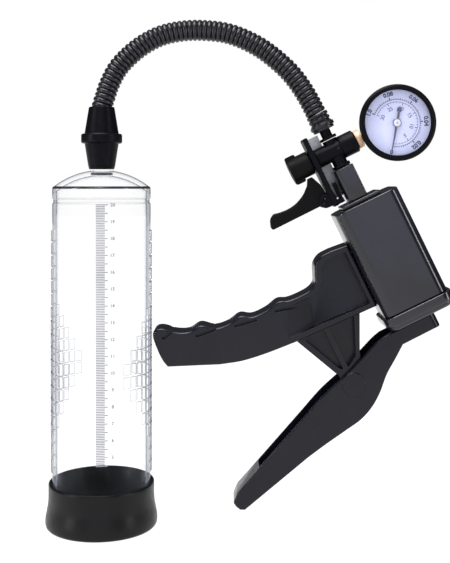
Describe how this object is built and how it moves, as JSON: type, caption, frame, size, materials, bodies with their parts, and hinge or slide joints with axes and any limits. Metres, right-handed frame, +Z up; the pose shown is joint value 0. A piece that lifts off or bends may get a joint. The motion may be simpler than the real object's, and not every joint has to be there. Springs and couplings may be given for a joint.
{
  "type": "hand vacuum pump",
  "caption": "Clear graduated chamber on a rubber base, joined by a corrugated hose to a pistol-grip piston pump with trigger, release lever and round vacuum gauge.",
  "frame": {"origin": "on the floor, under the middle of the chamber and pump together, measured without the hose", "axes": "+Z up along the chamber; +X from the chamber to the pump; +Y away from the side that the gauge and scale face"},
  "size_m": [0.251, 0.0692, 0.3136],
  "materials": {
    "clear_acrylic": "polished clear, moulded grip relief, grey printed scale",
    "black_rubber": "satin moulded",
    "gloss_black": "smooth moulded, glossy",
    "satin_black": "satin moulded",
    "steel": "turned and zinc plated",
    "brass": "turned, dull",
    "dial_face": "printed dial, pale lavender blue",
    "needle_grey": "painted dark grey",
    "lens": "clear flat lens"
  },
  "bodies": {
    "pump": {"cone_connector": "black_rubber", "hose": "black_rubber", "hose_cuff": "black_rubber", "inlet_valve": "black_rubber", "exhaust_valve": "black_rubber", "pump_body": "gloss_black", "base_cap": "gloss_black", "head_plate": "gloss_black", "outlet_tower": "gloss_black", "grip_frame": "gloss_black", "connector_insert": "satin_black", "cylinder_liner": "satin_black", "manifold_body": "satin_black", "hose_barb": "satin_black", "lever_bracket": "satin_black", "gauge_case": "satin_black", "gauge_bezel": "satin_black", "return_spring": "steel", "valve_spring": "steel", "retainer_plate": "steel", "lever_pin": "steel", "gauge_adapter": "brass", "bourdon_tube": "brass", "gauge_dial": "dial_face", "gauge_lens": "lens"},
    "trigger": {"trigger": "gloss_black", "pivot_pin": "steel", "rod_pin": "steel"},
    "piston": {"piston": "satin_black", "piston_seal": "black_rubber", "piston_rod": "steel"},
    "release_lever": {"release_lever": "satin_black"},
    "release_valve": {"release_knob": "satin_black", "valve_plunger": "steel", "valve_seal": "black_rubber"},
    "needle": {"gauge_needle": "needle_grey", "needle_spindle": "steel"},
    "chamber": {"chamber_tube": "clear_acrylic", "base_sleeve": "black_rubber", "neck_seal": "black_rubber"}
  },
  "joints": [
    {"name": "trigger_squeeze", "type": "hinge", "parent": "pump", "child": "trigger", "pos_m": [0.06502, 0, 0.08895], "axis": [0, 1, 0], "range_deg": [0, 28], "stiffness_Nm_per_rad": 1.2, "springref_deg": -20.05},
    {"name": "piston_stroke", "type": "slide", "parent": "pump", "child": "piston", "axis": [0.4384, 0, -0.8988], "range_m": [0, 0.028], "deforming": ["return_spring"]},
    {"name": "lever_pull", "type": "hinge", "parent": "pump", "child": "release_lever", "pos_m": [0.04815, 0, 0.20088], "axis": [0, -1, 0], "range_deg": [0, 12], "stiffness_Nm_per_rad": 0.15, "springref_deg": -22.92},
    {"name": "valve_lift", "type": "slide", "parent": "pump", "child": "release_valve", "axis": [-0.8988, 0, -0.4384], "range_m": [0, 0.0038], "deforming": ["valve_spring"]},
    {"name": "needle_sweep", "type": "hinge", "parent": "pump", "child": "needle", "pos_m": [0.09187, 0, 0.24924], "axis": [0, -1, 0], "range_deg": [0, 259], "stiffness_Nm_per_rad": 0.0004, "springref_deg": -17.19},
    {"name": "chamber_turn", "type": "hinge", "parent": "pump", "child": "chamber", "pos_m": [-0.09086, 0, 0.22], "axis": [0, 0, 1], "continuous": true}
  ],
  "couplings": [
    {"joint": "piston_stroke", "follows": "trigger_squeeze", "m_per_rad": 0.0568},
    {"joint": "valve_lift", "follows": "lever_pull", "m_per_rad": 0.0175}
  ]
}
